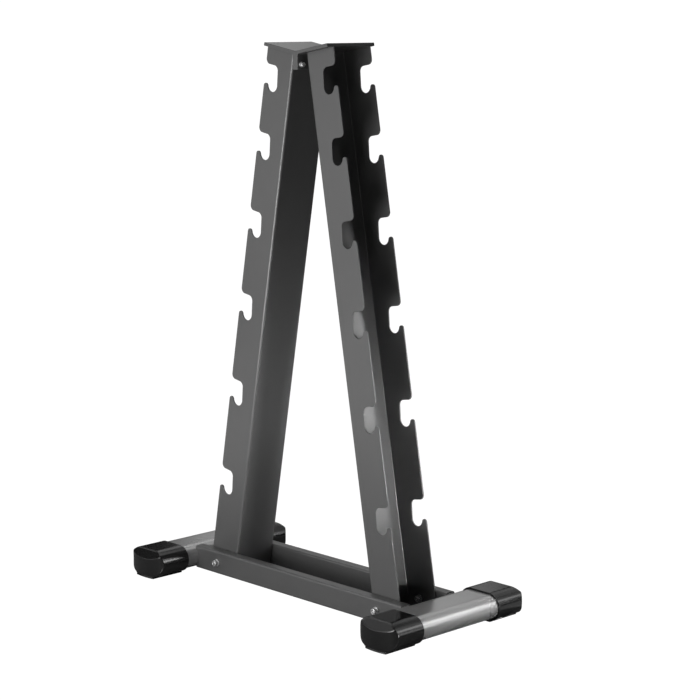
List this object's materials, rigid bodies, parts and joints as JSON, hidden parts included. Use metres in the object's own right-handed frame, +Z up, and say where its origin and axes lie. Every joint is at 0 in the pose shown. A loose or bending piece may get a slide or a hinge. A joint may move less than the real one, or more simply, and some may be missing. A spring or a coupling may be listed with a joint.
{
  "type": "dumbbell rack",
  "caption": "A-frame dumbbell rack: leaning steel channels with J-shaped hooks along their edges, joined by bent top plates and standing on rails between flat-oval feet with moulded end caps.",
  "frame": {"origin": "on the floor, under the middle of the rack", "axes": "+Z up, +X along the rails towards the right foot, -Y the front"},
  "size_m": [0.819, 0.382, 1.1527],
  "materials": {
    "charcoal_paint": "charcoal powder coat, satin, very fine texture",
    "silver_paint": "silver-grey metallic paint, satin",
    "black_boot": "black moulded plastic, satin",
    "zinc": "bright zinc plate"
  },
  "bodies": {
    "root": {"left_upright": "charcoal_paint", "right_upright": "charcoal_paint", "left_top_bracket": "charcoal_paint", "right_top_bracket": "charcoal_paint", "front_rail": "charcoal_paint", "rear_rail": "charcoal_paint", "left_foot_tube": "silver_paint", "right_foot_tube": "silver_paint", "left_front_cap": "black_boot", "left_rear_cap": "black_boot", "right_front_cap": "black_boot", "right_rear_cap": "black_boot", "left_front_spigot": "silver_paint", "left_rear_spigot": "silver_paint", "right_front_spigot": "silver_paint", "right_rear_spigot": "silver_paint", "base_screws": "zinc", "base_washers": "zinc", "base_nuts": "zinc", "top_screws": "zinc", "top_washers": "zinc", "top_nuts": "zinc"}
  },
  "joints": []
}
